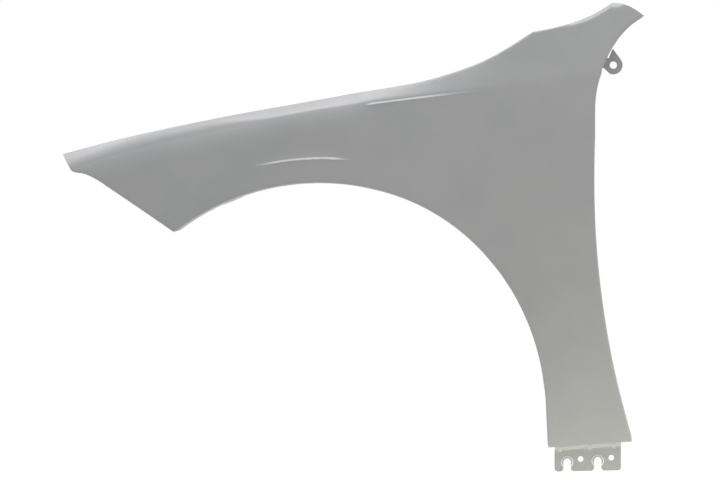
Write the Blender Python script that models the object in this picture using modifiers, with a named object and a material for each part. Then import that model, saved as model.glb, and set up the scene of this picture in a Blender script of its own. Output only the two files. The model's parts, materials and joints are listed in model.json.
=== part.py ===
# Left front fender of a passenger car: one steel sheet, pressed, folded and pierced.
#
# The panel is drawn about the wheel centre, with x rearwards, y inboard and z up, and y = 0 on the
# plane where its lower tab bolts to the sill. It is made the way the real one is: a flat blank with
# slots and holes, formed over a die surface, then folded along its edges. An empty carries it, so
# that the sill mount is at the world's origin.

import math
from bisect import bisect_right

import bmesh
import bpy
from mathutils import Vector
from mathutils.geometry import delaunay_2d_cdt, interpolate_bezier

mm = 0.001

# Main sizes: nose to spike tip, and the lower tab's foot to the spike's top
panel_length = 953 * mm
panel_height = 758.4 * mm
tab_height = 38.3 * mm
skin_height = panel_height - tab_height

# Where the wheel centre stands, in shares of the panel's length and of the skin's height
wheel_along = 0.4481
wheel_up = 0.056


def along(length_share):
    # The x of a place, by its share of the panel's length behind the nose.
    return (length_share - wheel_along) * panel_length


def up(height_share):
    # The z of a place, by its share of the skin's height above the sill edge.
    return (height_share - wheel_up) * skin_height


def at(length_share, height_share):
    return Vector((along(length_share), up(height_share)))


# Sheet and facets
sheet_thickness = 0.8 * mm
bend_radius = 2.6 * mm
facet_size = 26 * mm
edge_facet = 17 * mm
closest_points = 1.5 * mm
round_sides = 16

# Wheel arch: an arc about the wheel centre that tucks in behind the wheel
arch_radius = 0.4068 * panel_length
arch_tuck = 0.05 * arch_radius
arch_front_angle = math.radians(-37.4)
arch_tuck_start = math.radians(18)
arch_tuck_end = math.radians(90)
arch_end_angle = math.radians(87)

# Corners of the outline; the sill edge starts a little behind the arch's end
sill_setback = 3.3 * mm
sill_rear = at(0.9803, 0.0138)
nose_tip = at(0.0, 0.6649)
lamp_corner = at(0.02, 0.6231)
lamp_corner_radius = 5 * mm
cowl_corner = at(0.8091, 0.9328)
spike_top = at(0.946, 1.0)
spike_tip = at(1.0, 0.9739)

# Points that the outline's curves pass between its corners
hood_points = [
    at(0.0913, 0.6934),
    at(0.2834, 0.7441),
    at(0.4874, 0.7913),
    at(0.6569, 0.8344),
    at(0.7251, 0.867),
]
cowl_points = [
    at(0.8778, 0.9545),
    at(0.9124, 0.9732),
]
spike_end_points = [
    at(0.9633, 0.9968),
]
door_points = [
    at(0.9764, 0.9475),
    at(0.957, 0.9205),
    at(0.9471, 0.901),
    at(0.9297, 0.8552),
    at(0.9203, 0.8156),
    at(0.915, 0.6948),
    at(0.9182, 0.44),
    at(0.9444, 0.1983),
]
lamp_points = [
    at(0.085, 0.5865),
    at(0.064, 0.6045),
    at(0.042, 0.6177),
]

# Die surface: how far the skin stands outboard of the sill plane, and how it turns in
widest = 36 * mm
front_sweep = 120 * mm
sweep_start = along(0.553)
belt_height = up(0.4448)
sill_tuck = 30.7 * mm
tumblehome = 16 * mm

# Shoulder: a line along the panel above which the skin leans in towards the hood
shoulder_points = [
    at(-0.0136, 0.6115),
    at(0.0756, 0.6504),
    at(0.2456, 0.7031),
    at(0.4156, 0.7476),
    at(0.6538, 0.7913),
    at(0.9224, 0.8295),
    at(1.0147, 0.8378),
]
shoulder_lean = 1.07
rear_lean = 0.06
nose_lean = 0.50
lean_change = (along(0.40), along(0.78))
nose_change = (along(0.1858), along(0.0284))
front_roll = 25 * mm
rear_roll = 9 * mm
roll_change = (along(0.3851), along(0.2592))

# Crease shelves: a narrow step that the light catches, each fading out at both ends
shelf_height = 2.5 * mm
shoulder_shelf_depth = 3.0 * mm
shoulder_shelf_front = (along(0.5111), along(0.5845))
shoulder_shelf_rear = (along(0.8678), along(0.6685))
blister_shelf_depth = 3.2 * mm
blister_shelf_front = (along(0.3169), along(0.3851))
blister_shelf_rear = (along(0.5373), along(0.4743))
blister_blend = 120 * mm

# The blister's crease, by angles behind the top of the wheel and its gap to the arch there
blister_angles = [-18.3, -6.5, 0.0, 6.0, 12.7]
blister_gaps = [43.0 * mm, 39.3 * mm, 40.1 * mm, 40.5 * mm, 42.9 * mm]

# Rolled upper edge of the spike
spike_roll_depth = 11 * mm
spike_roll_height = 14 * mm
spike_roll_front = (along(0.8521), along(0.915))
spike_roll_rear = (along(0.978), along(0.9465))

# Lower tab: set in from the skin by a joggle, with two open slots and two locating holes; places
# along it are shares of its length
tab_front_gap = 10.5 * mm
tab_share = 0.792
tab_bottom_slope = 0.02
tab_corner_radius = 5 * mm
joggle_height = 6.5 * mm
slot_width = 12 * mm
slot_shares = [0.1894, 0.65]
slot_drop = 17.8 * mm
slot_row_slope = 0.045
slot_pad_radius = 10 * mm
slot_pad_edge = 1.6 * mm
slot_pad_height = 0.6 * mm
locating_hole_radius = 4.5 * mm
locating_hole_shares = [0.3937, 0.8542]
locating_hole_drop = 18.9 * mm
dart_height = 1.8 * mm
dart_radius = 4.2 * mm
dart_drop = 7.5 * mm
dart_shares = [0.08, 0.532, 0.892]

# Hood edge: a wall down into the hood gap and a rail flange with bolt pads
hood_bend_radius = 3.6 * mm
hood_wall = 20 * mm
hood_wall_angle = math.radians(20)
rail_width = 24 * mm
rail_pad_length = 30 * mm
rail_pad_ramp = 6 * mm
rail_pad_depth = 1.5 * mm
rail_hole_radius = 4.25 * mm
rail_hole_shares = [0.10, 0.30, 0.50, 0.70, 0.88]

# Return flanges
arch_flange = 14 * mm
arch_tab_extra = 10 * mm
arch_tab_length = 26 * mm
arch_tab_ramp = 6 * mm
arch_hole_radius = 3.5 * mm
arch_hole_shares = [0.12, 0.36, 0.62, 0.88]
arch_hole_reach = 0.62
door_flange = 12 * mm
leg_flange_turn = math.radians(84)
cowl_flange = 14 * mm
lamp_flange = 13 * mm
lamp_hole_radius = 3.5 * mm
lamp_hole_shares = [0.30, 0.75]
hole_cutter_depth = 12 * mm
corner_relief = 5 * mm
relief_notch = 2.4 * mm
flange_end_taper = 0.2

# Pillar ear: a pierced lug joggled in from the door edge below the spike
ear_height = up(0.8595)
ear_reach = 16.2 * mm
ear_hole_radius = 5.85 * mm
ear_radius = 15 * mm
ear_point_shift = -1.2 * mm
ear_point_rise = 24.4 * mm
ear_point_radius = 2.5 * mm
ear_foot_angle = math.radians(-115)
ear_neck_drop = 2.1 * mm
ear_neck_rise = 13.9 * mm
ear_plane = -8 * mm
ear_bend_radius = 2.2 * mm
ear_clearance_above = 18 * mm
ear_clearance_below = 6 * mm

# Where the lower tab bolts to the sill: on the land between the slots, below the sill edge
sill_mount_drop = 30.7 * mm

# Rows of facet corners: how far above each crease they run, and how near the outline they may come
shoulder_rows = [-2 * mm, 0.0, shelf_height, 8 * mm, 15 * mm]
blister_rows = [-2 * mm, 0.0, shelf_height, 14 * mm, 30 * mm]
spike_rows = [-spike_roll_height, -0.57 * spike_roll_height]
joggle_rows = [0.25, 0.5, 0.75, 1.0]
long_row_step = 15 * mm
short_row_step = 10 * mm
skin_row_gap = 5 * mm
tab_row_gap = 0.8 * mm

# Grey primer, and two directions that the folds turn to
primer_colour = (0.31, 0.315, 0.305, 1.0)
primer_roughness = 0.42
inboard = Vector((0.0, 1.0, 0.0))
square = math.radians(90)


def ease(value):
    # A smooth step from 0 to 1.
    value = min(max(value, 0.0), 1.0)
    return value * value * (3 - 2 * value)


def ramp(distance, width):
    # Zero up to 0, then a slope that grows to 1 across the width.
    share = min(max(distance / width, 0.0), 1.0)
    return width * (share ** 3 - share ** 4 / 2) + max(distance - width, 0.0)


def smooth_line(points, spacing=4 * mm):
    # Points on a smooth curve through the given ones, about one spacing apart.
    gaps = [(b - a).length for a, b in zip(points, points[1:])]
    slopes = [(b - a) / gap for a, b, gap in zip(points, points[1:], gaps)]
    inner = [
        (slopes[i] * gaps[i + 1] + slopes[i + 1] * gaps[i]) / (gaps[i] + gaps[i + 1])
        for i in range(len(slopes) - 1)
    ]
    first = 1.5 * slopes[0] - 0.5 * inner[0] if inner else slopes[0]
    last = 1.5 * slopes[-1] - 0.5 * inner[-1] if inner else slopes[-1]
    tangents = [first] + inner + [last]
    line = [points[0].copy()]
    for i, gap in enumerate(gaps):
        count = max(2, math.ceil(gap / spacing) + 1)
        knot_a = points[i].to_3d()
        knot_b = points[i + 1].to_3d()
        handle_a = knot_a + tangents[i].to_3d() * gap / 3
        handle_b = knot_b - tangents[i + 1].to_3d() * gap / 3
        run = interpolate_bezier(knot_a, handle_a, handle_b, knot_b, count)
        line += [point.to_2d() for point in run[1:]]
    return line


def rounded(corners, steps=4):
    # An open line through the corners, each given with the radius that rounds it.
    line = [corners[0][0]]
    for before, (corner, radius), after in zip(corners, corners[1:], corners[2:]):
        to_start = (before[0] - corner).normalized()
        to_end = (after[0] - corner).normalized()
        half = to_start.angle(to_end) / 2
        if radius == 0 or half > math.radians(89):
            line.append(corner)
            continue
        centre = corner + (to_start + to_end).normalized() * radius / math.sin(half)
        start = corner + to_start * radius / math.tan(half) - centre
        end = corner + to_end * radius / math.tan(half) - centre
        sweep = start.angle_signed(end)
        for step in range(steps + 1):
            turn = -sweep * step / steps
            line.append(centre + Vector((
                start.x * math.cos(turn) - start.y * math.sin(turn),
                start.x * math.sin(turn) + start.y * math.cos(turn),
            )))
    line.append(corners[-1][0])
    return line


def ring(centre, radius, sides, start=0.0):
    # Points on a circle, as the corners of a regular polygon.
    angles = [start + math.tau * i / sides for i in range(sides)]
    return [centre + Vector((math.cos(angle), math.sin(angle))) * radius for angle in angles]


def height_on(line, x):
    # The height of a line that runs rearwards, at one x.
    places = [point.x for point in line]
    i = min(max(bisect_right(places, x), 1), len(line) - 1)
    share = (x - places[i - 1]) / (places[i] - places[i - 1])
    return line[i - 1].y + (line[i].y - line[i - 1].y) * share


def line_length(line):
    return sum((b - a).length for a, b in zip(line, line[1:]))


def spot(line, distance):
    # The point at a distance along a line, and the direction there.
    for a, b in zip(line, line[1:]):
        step = (b - a).length
        if distance <= step:
            break
        distance -= step
    heading = (b - a).normalized()
    return a + heading * min(distance, step), heading


def arch_point(angle):
    # A point of the wheel arch, by its angle behind the top of the wheel.
    share = (angle - arch_tuck_start) / (arch_tuck_end - arch_tuck_start)
    radius = arch_radius - arch_tuck * ease(share)
    return Vector((math.sin(angle), math.cos(angle))) * radius


def arch_line():
    steps = 90
    sweep = arch_end_angle - arch_front_angle
    arc = [arch_point(arch_end_angle - sweep * i / steps) for i in range(steps + 1)]
    return [sill_front] + arc


def blister_point(degrees, gap):
    angle = math.radians(degrees)
    return Vector((math.sin(angle), math.cos(angle))) * (arch_radius + gap)


def lamp_and_nose_line():
    # The lamp's edge up to its rounded corner, then the short straight edge of the nose.
    lamp = smooth_line([arch_front] + lamp_points + [lamp_corner])
    corners = [(point, 0) for point in lamp]
    corners[-1] = (lamp_corner, lamp_corner_radius)
    return rounded(corners + [(nose_tip, 0)])


arch_front = arch_point(arch_front_angle)
sill_front = Vector((arch_point(arch_end_angle).x + sill_setback, up(0.0)))
tab_front = sill_front.x + tab_front_gap
tab_length = tab_share * (sill_rear.x - sill_front.x)
tab_rear = tab_front + tab_length
tab_bottom = sill_front.y - tab_height
slot_places = [tab_front + tab_length * share for share in slot_shares]
sill_mount = Vector((sum(slot_places) / 2, sill_front.y - sill_mount_drop))

lines = {
    "hood": smooth_line([nose_tip] + hood_points + [cowl_corner]),
    "cowl": smooth_line([cowl_corner] + cowl_points + [spike_top]),
    "spike_end": smooth_line([spike_top] + spike_end_points + [spike_tip]),
    "door": smooth_line([spike_tip] + door_points + [sill_rear]),
    "arch": arch_line(),
    "lamp": lamp_and_nose_line(),
}
shoulder_line = smooth_line(shoulder_points)
blister_line = smooth_line([blister_point(*place) for place in zip(blister_angles, blister_gaps)])


def sill_height(x):
    share = (x - sill_front.x) / (sill_rear.x - sill_front.x)
    return sill_front.y + (sill_rear.y - sill_front.y) * share


def slot_end(x):
    # The centre of a slot's round end.
    rise = slot_row_slope * (x - slot_places[0])
    return Vector((x, sill_front.y - slot_drop + rise - slot_width / 2))


def grown(x, change):
    # How far a change is complete at one x, from 0 at its first place to 1 at its second.
    start, end = change
    return ease((x - start) / (end - start))


def skin_depth(x, z):
    # The die surface of the visible skin: y for a place in the side view.
    depth = -widest
    depth += front_sweep * (max(sweep_start - x, 0.0) / (sweep_start - nose_tip.x)) ** 2
    depth += sill_tuck * (max(belt_height - z, 0.0) / (belt_height - sill_front.y)) ** 2
    depth += tumblehome * (max(z - belt_height, 0.0) / (spike_top.y - belt_height)) ** 2

    above_shoulder = z - height_on(shoulder_line, x)
    lean = shoulder_lean + (rear_lean - shoulder_lean) * grown(x, lean_change)
    lean += nose_lean * grown(x, nose_change)
    roll = rear_roll + (front_roll - rear_roll) * grown(x, roll_change)
    depth += lean * ramp(above_shoulder, roll)

    fade = grown(x, shoulder_shelf_front) * grown(x, shoulder_shelf_rear)
    depth += shoulder_shelf_depth * fade * ease(above_shoulder / shelf_height)

    above_blister = z - height_on(blister_line, x)
    fade = grown(x, blister_shelf_front) * grown(x, blister_shelf_rear)
    shelf = ease(above_blister / shelf_height) * (1 - ease((above_blister - shelf_height) / blister_blend))
    depth += blister_shelf_depth * fade * shelf

    into_roll = z - (height_on(lines["cowl"], x) - spike_roll_height)
    fade = grown(x, spike_roll_front) * grown(x, spike_roll_rear)
    depth += spike_roll_depth * fade * (max(into_roll, 0.0) / spike_roll_height) ** 2
    return depth


def tab_depth(x, z):
    # The lower tab: a joggle to the sill plane, raised pads round the slot ends and pressed darts.
    below_sill = sill_height(x) - z
    flat = -sheet_thickness
    edge = skin_depth(x, sill_height(x))
    depth = edge + (flat - edge) * ease(below_sill / joggle_height)
    for dart in dart_shares:
        reach = Vector((x - tab_front - tab_length * dart, below_sill - dart_drop)).length / dart_radius
        depth -= dart_height * (1 - ease(reach))
    for place in slot_places:
        if (Vector((x, z)) - slot_end(place)).length < slot_pad_radius - slot_pad_edge / 2:
            depth -= slot_pad_height
    return depth


def formed(point):
    # A place of the flat blank, pressed to its depth.
    below_sill = point.x > sill_front.x and point.y < sill_height(point.x) - 0.01 * mm
    depth = tab_depth(point.x, point.y) if below_sill else skin_depth(point.x, point.y)
    return Vector((point.x, depth, point.y))


def outer_normal(point):
    step = 0.5 * mm
    across = formed(point + Vector((step, 0))) - formed(point - Vector((step, 0)))
    up = formed(point + Vector((0, step))) - formed(point - Vector((0, step)))
    return across.cross(up).normalized()


def station(line, distance, radius):
    # A place where the skin ends and a fold starts, set in from the outline by the bend's reach.
    point, heading = spot(line, distance)
    out = Vector((-heading.y, heading.x))
    lean = max(outer_normal(point - out * radius).dot(Vector((out.x, 0, out.y))), 0.0)
    edge = point - out * radius * (1 - lean)
    normal = outer_normal(edge)
    ahead = formed(edge + heading * mm) - formed(edge - heading * mm)
    outward = normal.cross(ahead.normalized()).normalized()
    if outward.dot(Vector((out.x, 0, out.y))) < 0:
        outward = -outward
    return {
        "blank": edge,
        "place": formed(edge),
        "along": ahead.normalized(),
        "outward": outward,
        "inward": -normal,
        "distance": distance,
    }


def folded_path(start, steps):
    # The points that a fold passes from the skin's edge: arcs at its bends and straight runs.
    position = Vector((0.0, 0.0))
    angle = 0.0
    path = [position.copy()]
    for kind, size, heading, parts in steps:
        if kind == "bend":
            if isinstance(heading, Vector):
                heading = math.atan2(heading.dot(start["inward"]), heading.dot(start["outward"]))
            turn = heading - angle
            side = math.copysign(1.0, turn)
            centre = position + Vector((-math.sin(angle), math.cos(angle))) * size * side
            for part in range(1, parts + 1):
                now = angle + turn * part / parts
                path.append(centre - Vector((-math.sin(now), math.cos(now))) * size * side)
            angle = heading
        else:
            length = size(start) if callable(size) else size
            path.append(position + Vector((math.cos(angle), math.sin(angle))) * length)
        position = path[-1]
    return [start["place"] + start["outward"] * p.x + start["inward"] * p.y for p in path]


def widened(width, extra, half, slope, centres):
    # A flange width that grows by an extra amount over each tab.
    def width_at(start):
        nearest = min(abs(start["distance"] - centre) for centre in centres)
        return width + extra * min(max((half + slope - nearest) / slope, 0.0), 1.0)
    return width_at


def tab_marks(centres, half, slope):
    return [centre + side for centre in centres for side in (-half - slope, -half, half, half + slope)]


def spread(start, end, spacing, marks=()):
    # Distances from start to end, no further apart than the spacing, with one at each mark.
    stops = sorted([start, end] + [mark for mark in marks if start + mm < mark < end - mm])
    distances = [stops[0]]
    for a, b in zip(stops, stops[1:]):
        count = max(1, math.ceil((b - a) / spacing))
        distances += [a + (b - a) * i / count for i in range(1, count + 1)]
    return distances


def flange(line, start, end, steps, radius=bend_radius, marks=(), centres=(), hole_radius=0, hole_share=0.5):
    # A fold along part of a line, with a hole at each centre, some share across its last run.
    return {
        "line": line,
        "start": start,
        "end": end,
        "steps": steps,
        "radius": radius,
        "marks": list(marks),
        "centres": list(centres),
        "hole_radius": hole_radius,
        "hole_share": hole_share,
        "ear": False,
    }


def plain_steps(turn, width):
    return [("bend", bend_radius, turn, 3), ("run", width, None, 1)]


def hood_fold(length):
    # Down into the hood gap, then inboard as the rail that bolts to the body.
    down = Vector((0.0, math.sin(hood_wall_angle), -math.cos(hood_wall_angle)))
    steps = [
        ("bend", hood_bend_radius, down, 4),
        ("run", hood_wall, None, 1),
        ("bend", bend_radius, inboard, 2),
        ("run", rail_width, None, 1),
    ]
    centres = [length * share for share in rail_hole_shares]
    marks = tab_marks(centres, rail_pad_length / 2, rail_pad_ramp) + centres
    ends = corner_relief + relief_notch
    return flange("hood", ends, length - ends, steps, hood_bend_radius, marks, centres, rail_hole_radius)


def arch_fold(length):
    # The return flange of the wheel arch, with a wider tab at each liner screw.
    centres = [length * share for share in arch_hole_shares]
    half = arch_tab_length / 2
    width = widened(arch_flange, arch_tab_extra, half, arch_tab_ramp, centres)
    marks = tab_marks(centres, half, arch_tab_ramp)
    ends = corner_relief + relief_notch
    steps = plain_steps(square, width)
    holes = (centres, arch_hole_radius, arch_hole_reach)
    return flange("arch", ends, length - ends, steps, bend_radius, marks, *holes)


def lamp_fold(length):
    # The flange that the lamp and bumper meet, up to the rounded corner under the nose.
    ends = corner_relief + relief_notch
    end = length - (nose_tip - lamp_corner).length - ends
    centres = [end * share for share in lamp_hole_shares]
    steps = plain_steps(square, lamp_flange)
    return flange("lamp", ends, end, steps, centres=centres, hole_radius=lamp_hole_radius)


def door_folds(length):
    # Along the door gap: a flange under the spike, the ear's own neck, and a flange down the leg.
    ends = corner_relief + relief_notch
    ear_start, ear_end = ear_span()
    straight_in = plain_steps(inboard, door_flange)
    splayed = plain_steps(leg_flange_turn, door_flange)
    above = flange("door", ends, ear_start - ear_clearance_above, straight_in)
    below = flange("door", ear_end + ear_clearance_below, length - ends, splayed)
    ear = flange("door", ear_start, ear_end, ear_steps(ear_start, ear_end))
    ear["ear"] = True
    return [above, ear, below]


def fold_plan():
    # Every fold along the outline.
    lengths = {name: line_length(line) for name, line in lines.items()}
    ends = corner_relief + relief_notch
    cowl = flange("cowl", ends, lengths["cowl"] - ends, plain_steps(inboard, cowl_flange))
    plan = [hood_fold(lengths["hood"]), cowl, arch_fold(lengths["arch"]), lamp_fold(lengths["lamp"])]
    return plan + door_folds(lengths["door"])


def down_door(height):
    # How far down the door edge, from the spike's tip, it passes a height.
    line = lines["door"]
    distance = 0.0
    for a, b in zip(line, line[1:]):
        if b.y < height:
            break
        distance += (b - a).length
    return distance + (b - a).length * (a.y - height) / (a.y - b.y)


def ear_span():
    # Where along the door edge the pillar ear's neck starts and ends.
    return down_door(ear_height + ear_neck_rise), down_door(ear_height - ear_neck_drop)


def ear_centre():
    # The centre of the ear's bolt hole.
    edge = spot(lines["door"], down_door(ear_height))[0]
    return edge + Vector((ear_reach, 0))


def ear_steps(start, end):
    # The neck of the ear: in from the skin's edge to the ear's plane, then out into that plane.
    heading = spot(lines["door"], (start + end) / 2)[1]
    out = Vector((-heading.y, 0.0, heading.x))
    bend_in = ("bend", bend_radius, inboard, 3)
    bend_out = ("bend", ear_bend_radius, out, 3)

    def neck_length(place):
        bends_only = folded_path(place, [bend_in, ("run", 0.0, None, 1), bend_out])
        return ear_plane - bends_only[-1].y

    return [bend_in, ("run", neck_length, None, 1), bend_out]


def tab_outline():
    # The lower tab and its open slots, from the sill's rear end to its front end.
    def bottom(x):
        return Vector((x, tab_bottom + tab_bottom_slope * (x - sill_mount.x)))

    drops = joggle_drops()
    corners = [(sill_rear, 0), (Vector((tab_rear, sill_height(tab_rear))), 0)]
    corners += [(Vector((tab_rear, sill_height(tab_rear) - drop)), 0) for drop in drops]
    corners.append((bottom(tab_rear), tab_corner_radius))
    half = slot_width / 2
    almost_half = 0.999 * half
    for place in reversed(slot_places):
        top = slot_end(place).y + half
        corners.append((bottom(place + half), tab_corner_radius))
        corners.append((Vector((place + half, top)), almost_half))
        corners.append((Vector((place - half, top)), almost_half))
        corners.append((bottom(place - half), tab_corner_radius))
    corners.append((bottom(tab_front), tab_corner_radius))
    corners += [(Vector((tab_front, sill_height(tab_front) - drop)), 0) for drop in reversed(drops)]
    corners += [(Vector((tab_front, sill_height(tab_front))), 0), (sill_front, 0)]
    return rounded(corners)


def joggle_drops():
    return [joggle_height * share for share in joggle_rows]


def locating_holes():
    places = [tab_front + tab_length * share for share in locating_hole_shares]
    top = sill_front.y - locating_hole_drop
    return [Vector((x, top + slot_row_slope * (x - places[0]))) for x in places]


def inside(point, loop):
    crossings = False
    for a, b in zip(loop, loop[1:] + loop[:1]):
        if (a.y > point.y) != (b.y > point.y):
            if point.x < a.x + (b.x - a.x) * (point.y - a.y) / (b.y - a.y):
                crossings = not crossings
    return crossings


def gap_to(point, points):
    return min((point - other).length for other in points)


def outline_loop(folds):
    # The blank's outline, clockwise from the nose, and the range of it that each fold grows from.
    loop = []
    ranges = []
    for name in ("hood", "cowl", "spike_end", "door", "sill", "arch", "lamp"):
        if name == "sill":
            loop += tab_outline()[:-1]
            continue
        line = lines[name]
        length = line_length(line)
        here = sorted((fold for fold in folds if fold["line"] == name), key=lambda fold: fold["start"])
        reached = 0.0
        for fold in here:
            bare_end = fold["start"] - relief_notch
            loop += [spot(line, d)[0] for d in spread(reached, bare_end, edge_facet)]
            distances = spread(fold["start"], fold["end"], edge_facet, fold["marks"])
            fold["stations"] = [station(line, d, fold["radius"]) for d in distances]
            ranges.append((fold, len(loop)))
            loop += [each["blank"] for each in fold["stations"]]
            reached = fold["end"] + relief_notch
        loop += [spot(line, d)[0] for d in spread(reached, length, edge_facet)][:-1]
    return loop, ranges


def row_points(line, rise, spacing):
    # Places along a line moved straight up by a rise.
    length = line_length(line)
    return [spot(line, d)[0] + Vector((0, rise)) for d in spread(0, length, spacing)]


def crease_rows():
    # Rows of points that let the facets follow the creases, the rolled edges and the joggle.
    rows = [row_points(shoulder_line, rise, long_row_step) for rise in shoulder_rows]
    rows += [row_points(blister_line, rise, short_row_step) for rise in blister_rows]
    rows += [row_points(lines["cowl"], rise, short_row_step) for rise in spike_rows]
    for drop in [0.0] + joggle_drops():
        places = spread(tab_front, tab_rear, short_row_step)[1:-1]
        rows.append([Vector((x, sill_height(x) - drop)) for x in places])
    for place in slot_places:
        for radius in (slot_pad_radius, slot_pad_radius - slot_pad_edge):
            circle = ring(slot_end(place), radius, 20, math.radians(-90))
            beside_slot = slot_width / 2 + tab_row_gap
            rows.append([p for p in circle if p.y > slot_end(place).y or abs(p.x - place) > beside_slot])
    return rows


def dart_points():
    points = []
    for dart in dart_shares:
        x = tab_front + tab_length * dart
        centre = Vector((x, sill_height(x) - dart_drop))
        points += [centre] + ring(centre, dart_radius / 2, 6) + ring(centre, dart_radius, 8)
    return points


def add_row(points, edges, row, loop, clear):
    # Adds the stretches of a row that lie well inside the blank, with an edge between neighbours.
    last = None
    for point in row:
        too_near = gap_to(point, loop) < clear or gap_to(point, points) < closest_points
        if too_near or not inside(point, loop):
            last = None
            continue
        points.append(point)
        if last is not None:
            edges.append((last, len(points) - 1))
        last = len(points) - 1


def add_filling(points, loop):
    # Places between the rows and the outline, on a lattice of equal triangles.
    low_x = min(p.x for p in loop)
    high_x = max(p.x for p in loop)
    low_z = min(p.y for p in loop)
    high_z = max(p.y for p in loop)
    row_gap = facet_size * math.sqrt(3) / 2
    for row in range(int((high_z - low_z) / row_gap) + 1):
        for column in range(int((high_x - low_x) / facet_size) + 1):
            shift = facet_size / 2 if row % 2 else 0.0
            point = Vector((low_x + column * facet_size + shift, low_z + row * row_gap))
            if inside(point, loop) and gap_to(point, points) > 0.6 * facet_size:
                points.append(point)


def pierced_blank(loop):
    # The flat blank in triangles: its outline, its holes and every row of points.
    points = list(loop)
    edges = [(i, (i + 1) % len(loop)) for i in range(len(loop))]
    holes = [ring(centre, locating_hole_radius, round_sides) for centre in locating_holes()]
    for hole in holes:
        start = len(points)
        points += hole
        edges += [(start + i, start + (i + 1) % len(hole)) for i in range(len(hole))]
    for point in dart_points():
        if inside(point, loop) and gap_to(point, loop) > mm:
            points.append(point)
    for row in crease_rows():
        on_tab = row[0].y < 0
        add_row(points, edges, row, loop, tab_row_gap if on_tab else skin_row_gap)
    add_filling(points, loop)
    result = delaunay_2d_cdt(points, edges, [], 0, 1e-6)
    flat, triangles, sources = result[0], result[2], result[3]
    kept = []
    for triangle in triangles:
        middle = sum((flat[i] for i in triangle), Vector((0, 0))) / 3
        if inside(middle, loop) and not any(inside(middle, hole) for hole in holes):
            kept.append(triangle)
    return flat, kept, sources


def fold_trim(i, count):
    # How far a fold's first and last rows lean towards its middle.
    if i == 0:
        return flange_end_taper
    if i == count - 1:
        return -flange_end_taper
    return 0.0


def add_fold(bm, edge_vertices, fold):
    # Grows a fold from a run of the skin's edge.
    rows = []
    count = len(fold["stations"])
    for i, (vertex, start) in enumerate(zip(edge_vertices, fold["stations"])):
        path = folded_path(start, fold["steps"])
        trim = 0.0 if fold["ear"] else fold_trim(i, count)
        row = [vertex]
        for point in path[1:]:
            reach = (point - start["place"]).length
            row.append(bm.verts.new(point + start["along"] * trim * reach))
        rows.append(row)
    for row_a, row_b in zip(rows, rows[1:]):
        for a, b, c, d in zip(row_a, row_b, row_b[1:], row_a[1:]):
            bm.faces.new((a, b, c, d))
    return rows


def flatten_pads(rows, fold):
    # Presses each bolt pad of the rail flange flat and a little below the rest of the rail.
    for centre in fold["centres"]:
        near = [
            (row, start) for row, start in zip(rows, fold["stations"])
            if abs(start["distance"] - centre) < rail_pad_length / 2 + 0.1 * mm
        ]
        middle = min(near, key=lambda pair: abs(pair[1]["distance"] - centre))[0]
        first = near[0][0][-1].co
        last = near[-1][0][-1].co
        slope = (last.z - first.z) / (last.x - first.x)
        level = middle[-1].co.z - rail_pad_depth
        for row, start in near:
            for vertex in row[-2:]:
                vertex.co.z = level + slope * (vertex.co.x - middle[-1].co.x)


def ear_outline(neck_top, centre):
    # The lug's free edge: from its point, round the bolt hole, to its foot.
    to_point = Vector((ear_point_shift, ear_point_rise))
    touch = math.atan2(to_point.y, to_point.x) - math.acos(ear_radius / to_point.length)
    steps = 10
    arc = []
    for i in range(steps + 1):
        angle = touch + (ear_foot_angle - touch) * i / steps
        arc.append(centre + Vector((math.cos(angle), math.sin(angle))) * ear_radius)
    point = (centre + to_point, ear_point_radius)
    return rounded([(neck_top, 0), point, (arc[0], 0)])[1:] + arc[1:]


def add_ear(bm, rows):
    # Fills the lug between the neck's last row, its free edge and its bolt hole.
    for row in rows:
        row[-1].co.y = ear_plane
    neck = [row[-1] for row in reversed(rows)]
    neck_top = Vector((neck[-1].co.x, neck[-1].co.z))
    centre = ear_centre()
    free = [bm.verts.new((p.x, ear_plane, p.y)) for p in ear_outline(neck_top, centre)]
    hole = [bm.verts.new((p.x, ear_plane, p.y)) for p in ring(centre, ear_hole_radius, round_sides)]
    edges = []
    for loop in (neck + free, hole):
        for a, b in zip(loop, loop[1:] + loop[:1]):
            edges.append(bm.edges.get((a, b)) or bm.edges.new((a, b)))
    bmesh.ops.triangle_fill(bm, edges=edges, use_beauty=True)


def hole_cutters(fold, cutters, datum):
    # One cylinder through the last run of a fold for each of its holes.
    for number, distance in enumerate(fold["centres"]):
        start = station(lines[fold["line"]], distance, fold["radius"])
        path = folded_path(start, fold["steps"])
        run = path[-1] - path[-2]
        bm = bmesh.new()
        bmesh.ops.create_cone(
            bm, cap_ends=True, segments=round_sides,
            radius1=fold["hole_radius"], radius2=fold["hole_radius"],
            depth=hole_cutter_depth,
        )
        mesh = bpy.data.meshes.new(f"{fold['line']}_hole_{number + 1}")
        bm.to_mesh(mesh)
        bm.free()
        cutter = bpy.data.objects.new(mesh.name, mesh)
        cutter.parent = datum
        cutter.location = path[-2] + run * fold["hole_share"]
        cutter.rotation_mode = "QUATERNION"
        cutter.rotation_quaternion = run.cross(start["along"]).to_track_quat("Z", "Y")
        cutter.display_type = "WIRE"
        cutter.hide_render = True
        cutters.objects.link(cutter)


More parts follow.
